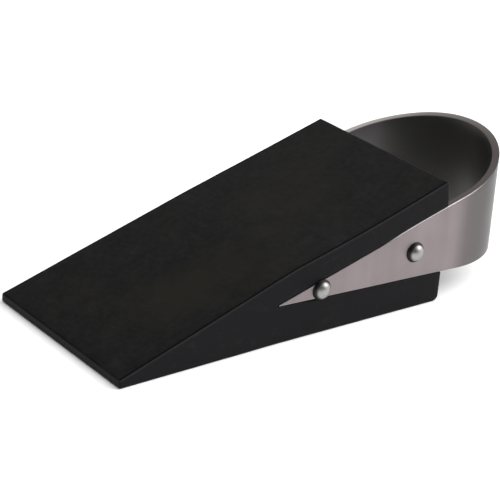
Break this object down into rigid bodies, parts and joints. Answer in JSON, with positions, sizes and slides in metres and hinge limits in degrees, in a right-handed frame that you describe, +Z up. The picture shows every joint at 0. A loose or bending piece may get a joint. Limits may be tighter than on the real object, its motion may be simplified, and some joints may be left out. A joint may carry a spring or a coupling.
{
  "type": "door wedge",
  "caption": "Rubber door wedge with a stainless steel strip riveted into pockets in its sides and bent into a finger loop behind it.",
  "frame": {"origin": "on the floor, under the centre of the whole object's box", "axes": "+Z up; -Y towards the thin nose, +Y towards the finger loop; X across, with the object symmetric about X = 0"},
  "size_m": [0.0514, 0.1206, 0.0331],
  "materials": {
    "rubber": "moulded black rubber, matt, faintly mottled",
    "strip_steel": "satin outside, smoother and darker inside the loop",
    "rivet_steel": "polished domed heads"
  },
  "bodies": {
    "root": {"rubber_wedge": "rubber", "steel_band": "strip_steel", "front_rivet_tube": "rivet_steel", "front_rivet_post": "rivet_steel", "rear_rivet_tube": "rivet_steel", "rear_rivet_post": "rivet_steel"}
  },
  "joints": []
}
